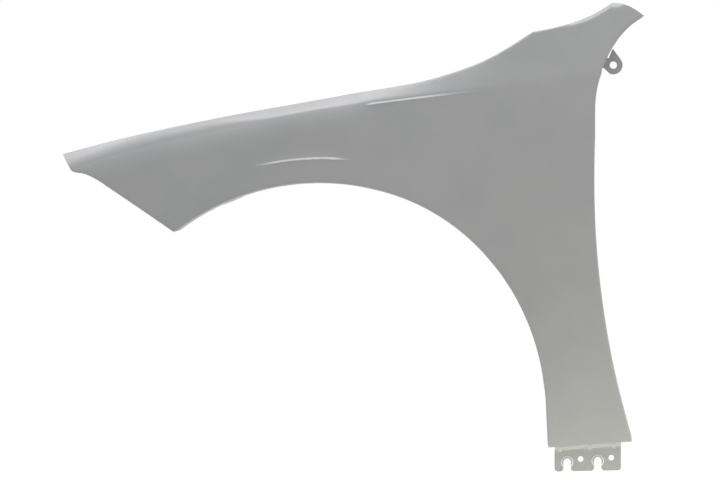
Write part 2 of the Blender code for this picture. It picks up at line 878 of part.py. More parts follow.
def build_sheet(folds):
    loop, ranges = outline_loop(folds)
    flat, triangles, sources = pierced_blank(loop)
    bm = bmesh.new()
    vertices = [bm.verts.new(formed(point)) for point in flat]
    of_point = {}
    for index, origins in enumerate(sources):
        for origin in origins:
            of_point[origin] = vertices[index]
    for triangle in triangles:
        bm.faces.new([vertices[i] for i in triangle])
    for fold, first in ranges:
        edge = [of_point[first + i] for i in range(len(fold["stations"]))]
        rows = add_fold(bm, edge, fold)
        if fold["line"] == "hood":
            flatten_pads(rows, fold)
        if fold["ear"]:
            add_ear(bm, rows)
    bmesh.ops.delete(bm, geom=[v for v in bm.verts if not v.link_faces], context="VERTS")
    bmesh.ops.recalc_face_normals(bm, faces=bm.faces)
    if sum(face.normal.y * face.calc_area() for face in bm.faces) > 0:
        bmesh.ops.reverse_faces(bm, faces=bm.faces)
    mesh = bpy.data.meshes.new("fender_panel")
    bm.to_mesh(mesh)
    bm.free()
    return mesh


def primer():
    material = bpy.data.materials.new("grey_primer")
    material.use_nodes = True
    shader = material.node_tree.nodes["Principled BSDF"]
    shader.inputs["Base Color"].default_value = primer_colour
    shader.inputs["Roughness"].default_value = primer_roughness
    shader.inputs["Metallic"].default_value = 0.0
    return material


def build():
    for old in list(bpy.data.objects):
        bpy.data.objects.remove(old, do_unlink=True)
    parts = bpy.data.collections.new("car_fender")
    bpy.context.scene.collection.children.link(parts)
    datum = bpy.data.objects.new("wheel_centre", None)
    datum.location = (-sill_mount.x, 0, -sill_mount.y)
    parts.objects.link(datum)

    cutters = bpy.data.collections.new("cutters")
    bpy.context.scene.collection.children.link(cutters)

    folds = fold_plan()
    mesh = build_sheet(folds)
    mesh.materials.append(primer())
    panel = bpy.data.objects.new("fender_panel", mesh)
    panel.parent = datum
    parts.objects.link(panel)
    shell = panel.modifiers.new("sheet", "SOLIDIFY")
    shell.thickness = sheet_thickness
    shell.offset = -1
    shell.use_even_offset = True
    for fold in folds:
        hole_cutters(fold, cutters, datum)
    pierce = panel.modifiers.new("flange_holes", "BOOLEAN")
    pierce.operand_type = "COLLECTION"
    pierce.collection = cutters
    pierce.solver = "EXACT"
    mesh.shade_smooth()
    mesh.set_sharp_from_angle(angle=math.radians(35))


build()
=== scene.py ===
# Left front fender of a car: one pressed steel panel in satin grey electrocoat primer.
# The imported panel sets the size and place. This script presses the same panel much finer,
# paints it, and sets up the studio.

import json
import math

import bmesh
import bpy
import numpy as np
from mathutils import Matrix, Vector, kdtree
from mathutils.geometry import delaunay_2d_cdt, interpolate_bezier

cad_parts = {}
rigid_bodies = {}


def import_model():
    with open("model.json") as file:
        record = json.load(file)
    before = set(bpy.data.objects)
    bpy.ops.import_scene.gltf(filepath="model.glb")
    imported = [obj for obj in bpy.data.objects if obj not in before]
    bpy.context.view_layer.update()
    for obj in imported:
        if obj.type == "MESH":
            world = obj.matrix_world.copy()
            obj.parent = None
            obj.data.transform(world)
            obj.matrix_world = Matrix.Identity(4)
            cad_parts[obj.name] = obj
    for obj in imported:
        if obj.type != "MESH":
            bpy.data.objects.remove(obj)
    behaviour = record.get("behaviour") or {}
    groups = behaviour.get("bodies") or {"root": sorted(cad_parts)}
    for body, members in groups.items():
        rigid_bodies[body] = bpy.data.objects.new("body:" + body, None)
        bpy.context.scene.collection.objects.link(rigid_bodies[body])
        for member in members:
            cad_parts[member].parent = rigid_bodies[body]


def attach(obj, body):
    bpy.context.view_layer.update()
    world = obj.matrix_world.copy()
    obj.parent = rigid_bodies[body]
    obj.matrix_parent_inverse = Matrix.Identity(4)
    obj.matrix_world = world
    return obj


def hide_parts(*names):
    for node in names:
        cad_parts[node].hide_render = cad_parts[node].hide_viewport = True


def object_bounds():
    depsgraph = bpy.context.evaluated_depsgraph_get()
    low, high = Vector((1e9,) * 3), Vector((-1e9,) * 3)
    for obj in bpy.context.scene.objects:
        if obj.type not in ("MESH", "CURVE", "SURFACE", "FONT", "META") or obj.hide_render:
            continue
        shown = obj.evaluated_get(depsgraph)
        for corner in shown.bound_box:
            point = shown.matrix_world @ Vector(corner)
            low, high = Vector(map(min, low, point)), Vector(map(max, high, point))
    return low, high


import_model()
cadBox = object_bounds()
print("frame: the packed panel is in")

mm = 0.001

# Camera: a long lens, level and square to the panel, as the photograph was taken
camera = {
    "place": (-0.3603, -5.0, 0.3667),
    "lens": 154.3,  # mm on a 36 mm wide sensor
}


def makeCamera():
    data = bpy.data.cameras.new("studioCamera")
    data.lens = camera["lens"]
    data.sensor_width = 36
    data.sensor_fit = "HORIZONTAL"
    data.clip_end = 100
    shot = bpy.data.objects.new("studioCamera", data)
    shot.location = camera["place"]
    shot.rotation_euler = (math.radians(90), 0, 0)
    bpy.context.scene.collection.objects.link(shot)
    bpy.context.scene.camera = shot


makeCamera()
print("camera: placed")


# The panel is drawn about the wheel centre: x rearwards, z up. Places are shares of its length
# (behind the nose) and of the skin's height (above the sill edge).
size = {
    "length": 953 * mm,
    "skinHeight": 720.1 * mm,
    "tabHeight": 38.3 * mm,
    "wheelAlong": 0.4481,
    "wheelUp": 0.056,
    "sheet": 0.8 * mm,
}


def along(share):
    return (share - size["wheelAlong"]) * size["length"]


def up(share):
    return (share - size["wheelUp"]) * size["skinHeight"]


def at(alongShare, upShare):
    return Vector((along(alongShare), up(upShare)))


fineness = {
    "facet": 5.5 * mm,
    "tabFacet": 2.4 * mm,
    "edge": 4 * mm,
    "bend": 7,                # facets round a bend
    "strips": (0.08, 0.3, 0.55, 0.8, 1.0),  # where a flat run is divided
    "archSteps": 220,
    "joggleSteps": 8,
    "earSteps": 29,
    "holeSides": 40,
    "closest": 0.35 * mm,     # nearest that two points of the blank come
    "weld": 1e-7,             # m; nearer than this they would be one
    "probe": 0.5 * mm,        # step at which the skin's slope is measured
    "cutterDepth": 12 * mm,
    "sharpAngle": math.radians(32),
}

outline = {
    "nose": at(0.0, 0.6649),
    "lampCorner": at(0.02, 0.6231),
    "lampCornerRadius": 5 * mm,
    "cowlCorner": at(0.8091, 0.9328),
    "spikeTop": at(0.946, 1.0),
    "spikeTip": at(1.0, 0.9692),
    "sillRear": at(0.9803, 0.0138),
    "sillSetback": 3.3 * mm,
    "hood": [
        at(0.0913, 0.6934), at(0.2834, 0.7441), at(0.4874, 0.7913), at(0.6569, 0.8344), at(0.7251, 0.867),
    ],
    "cowl": [at(0.8778, 0.9545), at(0.9124, 0.9732)],
    "spikeEnd": [at(0.9633, 0.9968)],
    "door": [
        at(0.9764, 0.9475), at(0.957, 0.9205), at(0.9471, 0.901), at(0.9297, 0.8552),
        at(0.9203, 0.8156), at(0.915, 0.6948), at(0.9182, 0.44), at(0.9444, 0.1983),
    ],
    "lamp": [at(0.085, 0.5865), at(0.064, 0.6045), at(0.042, 0.6177)],
}

arch = {
    "radius": 0.4068 * size["length"],
    "tuck": 0.05,              # share of the radius lost behind the wheel
    "tuckFrom": math.radians(18),
    "tuckTo": math.radians(90),
    "front": math.radians(-37.4),
    "end": math.radians(87),
}

# The skin's own form: how far it stands out, how it sweeps, tucks and leans, and its two creases
form = {
    "widest": 36 * mm,
    "frontSweep": 120 * mm,
    "sweepFrom": along(0.553),
    "belt": up(0.4448),
    "sillTuck": 30.7 * mm,
    "tumblehome": 16 * mm,
    "shoulder": [
        at(-0.0136, 0.6115), at(0.0756, 0.6504), at(0.2456, 0.7031), at(0.4156, 0.7476),
        at(0.6538, 0.7913), at(0.9224, 0.8295), at(1.0147, 0.8378),
    ],
    "shoulderLean": 1.07,
    "rearLean": 0.06,
    "noseLean": 0.50,
    "leanChange": (along(0.40), along(0.78)),
    "noseChange": (along(0.1858), along(0.0284)),
    "frontRoll": 25 * mm,
    "rearRoll": 9 * mm,
    "rollChange": (along(0.3851), along(0.2592)),
    "softRoll": 4.4 * mm,      # the skin starts to turn in well below the shoulder
    "softBelow": 40 * mm,
    "softAbove": 16 * mm,
    "softFade": (along(0.55), along(0.49)),
    "shelf": 3.4 * mm,         # a crease is a narrow flat shelf, rounded at each side
    "shelfRound": 0.1,         # share of it
    "shelfDrop": 1.6 * mm,
    "swell": 0.4 * mm,         # the skin swells out a hair under each crease
    "swellHeight": 5 * mm,
    "shoulderShelf": 3.0 * mm,
    "shoulderShelfFront": (along(0.52), along(0.545)),
    "shoulderShelfRear": (along(0.8678), along(0.6685)),
    "shoulderSharpRear": (along(0.74), along(0.57)),  # further back the shelf melts into a wide soft step
    "shoulderBlend": 60 * mm,
    "blisterShelf": 3.0 * mm,
    "blisterFront": (along(0.328), along(0.392)),
    "blisterRear": (along(0.51), along(0.462)),
    "blisterTail": 0.9 * mm,   # above its shelf the skin still leans in a little
    "blisterTailHeight": 12 * mm,
    "blisterBlend": 120 * mm,
    "blister": [(-18.3, 43.0 * mm), (-6.5, 39.3 * mm), (0.0, 40.1 * mm), (6.0, 40.5 * mm), (12.7, 42.9 * mm)],
    "spikeRoll": 11 * mm,
    "spikeRollHeight": 11 * mm,
    "spikeRollFront": (along(0.8521), along(0.915)),
    "spikeRollRear": (along(0.978), along(0.9465)),
}

tab = {
    "frontGap": 10.5 * mm,
    "share": 0.792,            # of the sill edge's length
    "bottomSlope": 0.02,
    "corner": 5 * mm,
    "joggle": 6.5 * mm,
    "seam": 0.01 * mm,         # the tab's form starts this far under the sill edge
    "slotWidth": 12 * mm,
    "slotRound": 0.999,        # a hair under a full half circle, so that its two arcs never cross
    "slots": [0.1894, 0.65],
    "slotDrop": 17.8 * mm,
    "slotSlope": 0.045,
    "padRadius": 10 * mm,
    "padEdge": 1.6 * mm,
    "padHeight": 1.1 * mm,
    "pins": [0.3937, 0.8542],
    "pinRadius": 4.5 * mm,
    "pinDrop": 18.9 * mm,
    "darts": [0.08, 0.532, 0.892],
    "dartHeight": 2.2 * mm,
    "dartRadius": 5.2 * mm,
    "dartDrop": 4.8 * mm,
    "mountDrop": 30.7 * mm,
}

fold = {
    "bend": 2.6 * mm,
    "hoodBend": 3.6 * mm,
    "hoodWall": 20 * mm,
    "hoodWallAngle": math.radians(20),
    "rail": 24 * mm,
    "padLength": 30 * mm,
    "padRamp": 6 * mm,
    "padDepth": 1.5 * mm,
    "padSlack": 0.1 * mm,
    "railHoles": [0.10, 0.30, 0.50, 0.70, 0.88],
    "railHole": 4.25 * mm,
    "arch": 14 * mm,
    "archTab": 10 * mm,
    "archTabLength": 26 * mm,
    "archTabRamp": 6 * mm,
    "archHoles": [0.12, 0.36, 0.62, 0.88],
    "archHole": 3.5 * mm,
    "archHoleReach": 0.62,
    "door": 12 * mm,
    "legTurn": math.radians(84),
    "cowl": 14 * mm,
    "lamp": 13 * mm,
    "lampHeading": Vector((0.3, 0.95, 0)),
    "lampHoles": [0.291, 0.727],
    "lampHole": 3.5 * mm,
    "ends": 1.4 * mm,          # each fold stops short of the corner, at a small notch
    "hoodStart": 15 * mm,      # the hood wall stands further back from the nose
    "spikeStart": 3 * mm,      # and the door fold from the spike's tip
    "notch": 0.4 * mm,
    "endTaper": 0.3,
    "taperRun": 30 * mm,       # the strips over this length share the slant of the end
}

ear = {
    "height": up(0.8595),
    "reach": 16.2 * mm,
    "hole": 5.85 * mm,
    "radius": 15 * mm,
    "point": Vector((-1.0, 26.8)) * mm,
    "pointRadius": 1.5 * mm,
    "foot": math.radians(-115),
    "neckDrop": 2.1 * mm,
    "neckRise": 13.9 * mm,
    "neckRun": 0.8 * mm,
    "plane": -8 * mm,
    "bend": 2.2 * mm,
    "clearAbove": 18 * mm,
    "clearBelow": 6 * mm,
}


def ease(value):
    value = np.clip(value, 0.0, 1.0)
    return value * value * (3 - 2 * value)


def grown(x, change):
    # how much of a change from one place to another is done at x
    return ease((x - change[0]) / (change[1] - change[0]))


def ramp(distance, width):
    # a slope that grows smoothly from 0 to 1 over the width, summed up
    share = np.clip(distance / width, 0.0, 1.0)
    return width * (share ** 3 - share ** 4 / 2) + np.maximum(distance - width, 0.0)


def smoothLine(points, spacing=2 * mm):
    # a bezier run between each pair of points, with even tangents where they meet
    gaps = [(b - a).length for a, b in zip(points, points[1:])]
    slopes = [(b - a) / gap for a, b, gap in zip(points, points[1:], gaps)]
    inner = [
        (slope * nextGap + nextSlope * gap) / (gap + nextGap)
        for slope, nextSlope, gap, nextGap in zip(slopes, slopes[1:], gaps, gaps[1:])
    ]
    first = 1.5 * slopes[0] - 0.5 * inner[0] if inner else slopes[0]
    last = 1.5 * slopes[-1] - 0.5 * inner[-1] if inner else slopes[-1]
    tangents = [first] + inner + [last]
    line = [points[0].copy()]
    for i, gap in enumerate(gaps):
        a, b = points[i].to_3d(), points[i + 1].to_3d()
        handles = (a, a + tangents[i].to_3d() * gap / 3, b - tangents[i + 1].to_3d() * gap / 3, b)
        line += [p.to_2d() for p in interpolate_bezier(*handles, max(2, math.ceil(gap / spacing) + 1))[1:]]
    return line


def rounded(corners, steps=10):
    # an open line through (corner, radius) pairs
    line = [corners[0][0]]
    for before, (corner, radius), after in zip(corners, corners[1:], corners[2:]):
        toStart, toEnd = (before[0] - corner).normalized(), (after[0] - corner).normalized()
        half = toStart.angle(toEnd) / 2
        if radius == 0 or half > math.radians(89):  # nothing to round, or nearly straight
            line.append(corner)
            continue
        centre = corner + (toStart + toEnd).normalized() * radius / math.sin(half)
        start = corner + toStart * radius / math.tan(half) - centre
        sweep = start.angle_signed(corner + toEnd * radius / math.tan(half) - centre)
        for step in range(steps + 1):
            turn = -sweep * step / steps
            line.append(centre + Vector((
                start.x * math.cos(turn) - start.y * math.sin(turn),
                start.x * math.sin(turn) + start.y * math.cos(turn),
            )))
    return line + [corners[-1][0]]


def ring(centre, radius, sides, start=0.0):
    angles = [start + math.tau * i / sides for i in range(sides)]
    return [centre + Vector((math.cos(angle), math.sin(angle))) * radius for angle in angles]


def lineLength(line):
    return sum((b - a).length for a, b in zip(line, line[1:]))


def spot(line, distance):
    # the place at a distance along a line, and the heading there
    for a, b in zip(line, line[1:]):
        step = (b - a).length
        if distance <= step:
            break
        distance -= step
    heading = (b - a).normalized()
    return a + heading * min(distance, step), heading


def archPoint(angle):
    share = (angle - arch["tuckFrom"]) / (arch["tuckTo"] - arch["tuckFrom"])
    point = Vector((math.sin(angle), math.cos(angle))) * arch["radius"]
    return point * (1 - arch["tuck"] * float(ease(share)))


def archLine():
    steps = fineness["archSteps"]
    sweep = arch["end"] - arch["front"]
    return [sillFront] + [archPoint(arch["end"] - sweep * i / steps) for i in range(steps + 1)]


def lampAndNoseLine():
    places = [archPoint(arch["front"])] + outline["lamp"] + [outline["lampCorner"]]
    lamp = [(p, 0) for p in smoothLine(places)]
    lamp[-1] = (outline["lampCorner"], outline["lampCornerRadius"])
    return rounded(lamp + [(outline["nose"], 0)])


sillRear = outline["sillRear"]
sillFront = Vector((archPoint(arch["end"]).x + outline["sillSetback"], up(0.0)))
tabFront = sillFront.x + tab["frontGap"]
tabLength = tab["share"] * (sillRear.x - sillFront.x)
tabRear = tabFront + tabLength
tabBottom = sillFront.y - size["tabHeight"]
slotPlaces = [tabFront + tabLength * share for share in tab["slots"]]
sillMount = Vector((sum(slotPlaces) / 2, sillFront.y - tab["mountDrop"]))
lines = {
    "hood": smoothLine([outline["nose"]] + outline["hood"] + [outline["cowlCorner"]]),
    "cowl": smoothLine([outline["cowlCorner"]] + outline["cowl"] + [outline["spikeTop"]]),
    "spikeEnd": smoothLine([outline["spikeTop"]] + outline["spikeEnd"] + [outline["spikeTip"]]),
    "door": smoothLine([outline["spikeTip"]] + outline["door"] + [sillRear]),
    "arch": archLine(),
    "lamp": lampAndNoseLine(),
    "shoulder": smoothLine(form["shoulder"]),
    "blister": smoothLine([
        Vector((math.sin(math.radians(a)), math.cos(math.radians(a)))) * (arch["radius"] + gap)
        for a, gap in form["blister"]
    ]),
}


def heightOn(name, x):
    return np.interp(x, [p.x for p in lines[name]], [p.y for p in lines[name]])


def sillHeight(x):
    return sillFront.y + (sillRear.y - sillFront.y) * (x - sillFront.x) / (sillRear.x - sillFront.x)


def slotEnd(x):
    # the centre of the round end of the open slot at x
    height = sillFront.y - tab["slotDrop"] + tab["slotSlope"] * (x - slotPlaces[0])
    return Vector((x, height - tab["slotWidth"] / 2))


def swollen(above):
    # how far the skin swells out under a crease
    above = above + form["shelfDrop"]
    share = np.clip(1 + above / form["swellHeight"], 0, 1)
    return form["swell"] * share ** 2 * (above < 0)


def shelfRise(above):
    # 0 to 1 up a shelf: nearly straight, with short round ends
    share, edge = np.clip((above + form["shelfDrop"]) / form["shelf"], 0, 1), form["shelfRound"]
    rise = np.where(share < edge, share ** 2 / (2 * edge), share - edge / 2) / (1 - edge)
    return np.where(share > 1 - edge, 1 - (1 - share) ** 2 / (2 * edge * (1 - edge)), rise)


def skinDepth(x, z):
    # y of the visible skin over a place in the side view
    forward = np.maximum(form["sweepFrom"] - x, 0) / (form["sweepFrom"] - outline["nose"].x)
    depth = -form["widest"] + form["frontSweep"] * forward ** 2
    under = np.maximum(form["belt"] - z, 0) / (form["belt"] - sillFront.y)
    depth = depth + form["sillTuck"] * under ** 2
    over = np.maximum(z - form["belt"], 0) / (outline["spikeTop"].y - form["belt"])
    depth = depth + form["tumblehome"] * over ** 2

    aboveShoulder = z - heightOn("shoulder", x)
    lean = form["shoulderLean"] + (form["rearLean"] - form["shoulderLean"]) * grown(x, form["leanChange"])
    lean = lean + form["noseLean"] * grown(x, form["noseChange"])
    roll = form["rearRoll"] + (form["frontRoll"] - form["rearRoll"]) * grown(x, form["rollChange"])
    depth = depth + lean * ramp(aboveShoulder, roll)
    fade = grown(x, form["shoulderShelfFront"]) * grown(x, form["shoulderShelfRear"])
    sharp = fade * grown(x, form["shoulderSharpRear"])
    depth = depth + form["shoulderShelf"] * sharp * shelfRise(aboveShoulder) - swollen(aboveShoulder) * sharp
    depth = depth + form["shoulderShelf"] * (fade - sharp) * ease(aboveShoulder / form["shoulderBlend"])

    # the soft roll's slope grows up to the shoulder and dies out just above it
    below = np.clip(1 + aboveShoulder / form["softBelow"], 0, 1) ** 3
    share = form["softAbove"] / form["softBelow"]
    above = share * (1 - (1 - np.clip(aboveShoulder / form["softAbove"], 0, 1)) ** 3)
    depth = depth + form["softRoll"] * grown(x, form["softFade"]) * (below + above)

    aboveBlister = z - heightOn("blister", x)
    fade = grown(x, form["blisterFront"]) * grown(x, form["blisterRear"])
    beyond = aboveBlister + form["shelfDrop"] - form["shelf"]
    tail = 1 - (1 - np.clip(beyond / form["blisterTailHeight"], 0, 1)) ** 2
    step = form["blisterShelf"] * shelfRise(aboveBlister) + form["blisterTail"] * tail
    depth = depth + fade * (step * (1 - ease(beyond / form["blisterBlend"])) - swollen(aboveBlister))

    intoRoll = z - (heightOn("cowl", x) - form["spikeRollHeight"])
    fade = grown(x, form["spikeRollFront"]) * grown(x, form["spikeRollRear"])
    return depth + form["spikeRoll"] * fade * (np.maximum(intoRoll, 0) / form["spikeRollHeight"]) ** 4


def tabDepth(x, z):
    # joggled in to the sill plane, with pressed darts and raised pads round the slot ends
    belowSill = sillHeight(x) - z
    edge = skinDepth(x, sillHeight(x))
    depth = edge + (-size["sheet"] - edge) * ease(belowSill / tab["joggle"])
    for share in tab["darts"]:
        reach = np.hypot(x - tabFront - tabLength * share, belowSill - tab["dartDrop"]) / tab["dartRadius"]
        depth = depth - tab["dartHeight"] * (1 - ease(reach))
    for place in slotPlaces:
        centre = slotEnd(place)
        reach = np.hypot(x - centre.x, z - centre.y)
        depth = depth - tab["padHeight"] * ease((tab["padRadius"] - reach) / tab["padEdge"])
    return depth


def formed(points):
    # places of the flat blank, pressed to their depth
    points = np.asarray(points, float).reshape(-1, 2)
    x, z = points[:, 0], points[:, 1]
    onTab = (x > sillFront.x) & (z < sillHeight(x) - tab["seam"])
    return np.stack([x, np.where(onTab, tabDepth(x, z), skinDepth(x, z)), z], 1)


def outerNormal(p):
    step = fineness["probe"]
    around = [(p.x - step, p.y), (p.x + step, p.y), (p.x, p.y - step), (p.x, p.y + step)]
    left, right, low, high = (Vector(q) for q in formed(around))
    return (right - left).cross(high - low).normalized()


def station(line, distance, radius):
    # where the skin ends and a fold starts, set in from the outline by the bend's reach
    point, heading = spot(line, distance)
    out = Vector((-heading.y, heading.x))
    lean = max(outerNormal(point - out * radius).dot(Vector((out.x, 0, out.y))), 0.0)
    edge = point - out * radius * (1 - lean)
    normal = outerNormal(edge)
    behind, place, ahead = (Vector(q) for q in formed([edge - heading * mm, edge, edge + heading * mm]))
    heading3d = (ahead - behind).normalized()
    outward = normal.cross(heading3d).normalized()
    if outward.dot(Vector((out.x, 0, out.y))) < 0:
        outward = -outward
    return {
        "blank": edge, "place": place, "along": heading3d,
        "outward": outward, "inward": -normal, "distance": distance,
    }


def foldedPath(start, steps):
    # where a fold passes from the skin's edge: arcs at its bends, then runs in short strips
    position, angle, path = Vector((0, 0)), 0.0, [Vector((0, 0))]
    for kind, amount, heading in steps:
        if kind == "bend":
            if isinstance(heading, Vector):
                heading = math.atan2(heading.dot(start["inward"]), heading.dot(start["outward"]))
            turn = heading - angle
            side = math.copysign(1.0, turn)
            centre = position + Vector((-math.sin(angle), math.cos(angle))) * amount * side
            for part in range(1, fineness["bend"] + 1):
                now = angle + turn * part / fineness["bend"]
                path.append(centre - Vector((-math.sin(now), math.cos(now))) * amount * side)
            angle = heading
        else:
            reach = amount(start) if callable(amount) else amount
            direction = Vector((math.cos(angle), math.sin(angle)))
            for part in fineness["strips"]:
                path.append(position + direction * reach * part)
        position = path[-1]
    return [start["place"] + start["outward"] * p.x + start["inward"] * p.y for p in path]


def spread(start, end, spacing, marks=()):
    stops = sorted([start, end] + [mark for mark in marks if start + mm < mark < end - mm])
    distances = [stops[0]]
    for a, b in zip(stops, stops[1:]):
        count = max(1, math.ceil((b - a) / spacing))
        distances += [a + (b - a) * i / count for i in range(1, count + 1)]
    return distances


def flange(line, start, end, steps, radius=fold["bend"],
           marks=(), centres=(), hole=0.0, reach=0.5, isEar=False):
    # a fold along one line of the outline: its bends and runs, and the holes through its last run
    return {
        "line": line, "start": start, "end": end, "steps": steps, "radius": radius,
        "marks": list(marks), "centres": list(centres), "hole": hole, "reach": reach, "ear": isEar,
    }


def tabMarks(centres, half, slope):
    # where a pad or tab starts and ends, and where its ramps do
    return [centre + side for centre in centres for side in (-half - slope, -half, half, half + slope)]


inboard = Vector((0, 1, 0))
square = math.radians(90)


def downDoor(height):
    # how far along the door edge a height is reached
    distance = 0.0
    for a, b in zip(lines["door"], lines["door"][1:]):
        if b.y < height:
            break
        distance += (b - a).length
    return distance + (b - a).length * (a.y - height) / (a.y - b.y)


earSpan = (downDoor(ear["height"] + ear["neckRise"]), downDoor(ear["height"] - ear["neckDrop"]))
earCentre = spot(lines["door"], downDoor(ear["height"]))[0] + Vector((ear["reach"], 0))


def earSteps():
    heading = spot(lines["door"], sum(earSpan) / 2)[1]
    bendIn = ("bend", fold["bend"], inboard)
    bendOut = ("bend", ear["bend"], Vector((-heading.y, 0, heading.x)))

    def neck(start):
        return ear["plane"] - foldedPath(start, [bendIn, ("run", 0.0, None), bendOut])[-1].y

    return [bendIn, ("run", neck, None), bendOut, ("run", ear["neckRun"], None)]


def foldPlan():
    ends = fold["ends"]
    lengths = {name: lineLength(line) for name, line in lines.items()}

    centres = [lengths["hood"] * share for share in fold["railHoles"]]
    down = Vector((0, math.sin(fold["hoodWallAngle"]), -math.cos(fold["hoodWallAngle"])))
    bendIn = ("bend", fold["bend"], inboard)
    steps = [("bend", fold["hoodBend"], down), ("run", fold["hoodWall"], None)]
    steps += [bendIn, ("run", fold["rail"], None)]
    marks = tabMarks(centres, fold["padLength"] / 2, fold["padRamp"]) + centres
    span = (fold["hoodStart"], lengths["hood"] - ends)
    hood = flange("hood", *span, steps, fold["hoodBend"], marks, centres, fold["railHole"])

    cowl = flange("cowl", ends, lengths["cowl"] - ends, [bendIn, ("run", fold["cowl"], None)])

    liners = [lengths["arch"] * share for share in fold["archHoles"]]
    half, slope = fold["archTabLength"] / 2, fold["archTabRamp"]

    def archWidth(start):
        away = min(abs(start["distance"] - centre) for centre in liners)
        return fold["arch"] + fold["archTab"] * min(max((half + slope - away) / slope, 0.0), 1.0)

    steps = [("bend", fold["bend"], square), ("run", archWidth, None)]
    marks = tabMarks(liners, half, slope)
    holes = (liners, fold["archHole"], fold["archHoleReach"])
    wheel = flange("arch", ends, lengths["arch"] - ends, steps, fold["bend"], marks, *holes)

    lampEnd = lengths["lamp"] - (outline["nose"] - outline["lampCorner"]).length - ends
    steps = [("bend", fold["bend"], fold["lampHeading"]), ("run", fold["lamp"], None)]
    centres = [lampEnd * share for share in fold["lampHoles"]]
    lamp = flange("lamp", ends, lampEnd, steps, centres=centres, hole=fold["lampHole"])

    run = ("run", fold["door"], None)
    above = flange("door", fold["spikeStart"], earSpan[0] - ear["clearAbove"], [bendIn, run])
    neck = flange("door", *earSpan, earSteps(), isEar=True)
    splayed = [("bend", fold["bend"], fold["legTurn"]), run]
    below = flange("door", earSpan[1] + ear["clearBelow"], lengths["door"] - ends, splayed)
    return [hood, cowl, wheel, lamp, above, neck, below]


def joggleDrops():
    steps = fineness["joggleSteps"]
    return [tab["joggle"] * i / steps for i in range(1, steps + 1)]


def tabOutline():
    def bottom(x):
        return Vector((x, tabBottom + tab["bottomSlope"] * (x - sillMount.x)))

    drops = joggleDrops()
    corners = [(sillRear, 0), (Vector((tabRear, sillHeight(tabRear))), 0)]
    corners += [(Vector((tabRear, sillHeight(tabRear) - drop)), 0) for drop in drops]
    corners.append((bottom(tabRear), tab["corner"]))
    half = tab["slotWidth"] / 2
    endRadius = tab["slotRound"] * half
    for place in reversed(slotPlaces):
        top = slotEnd(place).y + half
        corners += [(bottom(place + half), tab["corner"]), (Vector((place + half, top)), endRadius)]
        corners += [(Vector((place - half, top)), endRadius), (bottom(place - half), tab["corner"])]
    corners.append((bottom(tabFront), tab["corner"]))
    corners += [(Vector((tabFront, sillHeight(tabFront) - drop)), 0) for drop in reversed(drops)]
    return rounded(corners + [(Vector((tabFront, sillHeight(tabFront))), 0), (sillFront, 0)])


def outlineLoop(folds):
    # the blank's outline, clockwise from the nose, with the run of it that each fold grows from
    loop, ranges = [], []
    for name in ("hood", "cowl", "spikeEnd", "door", "sill", "arch", "lamp"):
        if name == "sill":
            loop += tabOutline()[:-1]
            continue
        line, reached = lines[name], 0.0
        for each in sorted((f for f in folds if f["line"] == name), key=lambda f: f["start"]):
            bare = spread(reached, each["start"] - fold["notch"], fineness["edge"])
            loop += [spot(line, d)[0] for d in bare]
            folded = spread(each["start"], each["end"], fineness["edge"], each["marks"])
            each["stations"] = [station(line, d, each["radius"]) for d in folded]
            ranges.append((each, len(loop)))
            loop += [s["blank"] for s in each["stations"]]
            reached = each["end"] + fold["notch"]
        loop += [spot(line, d)[0] for d in spread(reached, lineLength(line), fineness["edge"])][:-1]
    return loop, ranges


def inside(points, loop):
    # which of the points lie inside a closed loop, by counting crossings
    points, a = np.asarray(points, float).reshape(-1, 2), np.array([tuple(p) for p in loop])
    b = np.roll(a, -1, 0)
    within = np.zeros(len(points), bool)
    for (ax, ay), (bx, by) in zip(a, b):
        if ay != by:
            crosses = (ay > points[:, 1]) != (by > points[:, 1])
            within ^= crosses & (points[:, 0] < ax + (bx - ax) * (points[:, 1] - ay) / (by - ay))
    return within


# Rows of points that the facets follow, and the lattice that fills the rest. The four lists are
# in mm: above a crease, under the spike's upper edge, in from a pad's rim and out from a dart.
guides = {
    "creaseRises": [-5, -3.5, -2.4, -2, -1.6, -1.2, -0.7, 0, 0.7, 1.3, 1.7, 2.1, 3.2, 5.5, 9],
    "spikeDrops": [11, 9, 7, 5.5, 4],
    "padInsets": [-1, 0, 0.4, 0.8, 1.2, 1.6, 2.4],
    "dartRings": (0.7, 5.6, 8),    # first and last radius, and how many
    "padPoints": 64,
    "joggleSpacing": 2.5 * mm,
    "slotClear": 0.3 * mm,
    "skinClear": 1.5 * mm,         # nearest that each kind of row comes to the outline
    "tabClear": 0.6 * mm,
    "dartClear": 0.5 * mm,
    "latticeClear": 0.6,           # share of its step that the lattice keeps from the rows
    "latticeAlong": (along(-0.01), along(1.01)),
    "latticeUp": (up(-0.02), up(1.01)),
    "footUp": (tabBottom - 2 * mm, up(0.02)),
}


def guideRows():
    # along the creases and the rolled edge of the spike, then on the joggle and round the pads
    def row(name, rise):
        line = lines[name]
        return [spot(line, d)[0] + Vector((0, rise)) for d in spread(0, lineLength(line), fineness["edge"])]

    skin = [row(name, rise * mm) for name in ("shoulder", "blister") for rise in guides["creaseRises"]]
    skin += [row("cowl", -drop * mm) for drop in guides["spikeDrops"]]
    onTab = []
    for drop in [0.0] + joggleDrops():
        xs = spread(tabFront, tabRear, guides["joggleSpacing"])[1:-1]
        onTab.append([Vector((x, sillHeight(x) - drop)) for x in xs])
    besideSlot = tab["slotWidth"] / 2 + guides["slotClear"]
    for place in slotPlaces:
        end = slotEnd(place)
        for inset in guides["padInsets"]:
            circle = ring(end, tab["padRadius"] - inset * mm, guides["padPoints"], math.radians(-90))
            onTab.append([p for p in circle if p.y > end.y or abs(p.x - place) > besideSlot])
    return skin, onTab


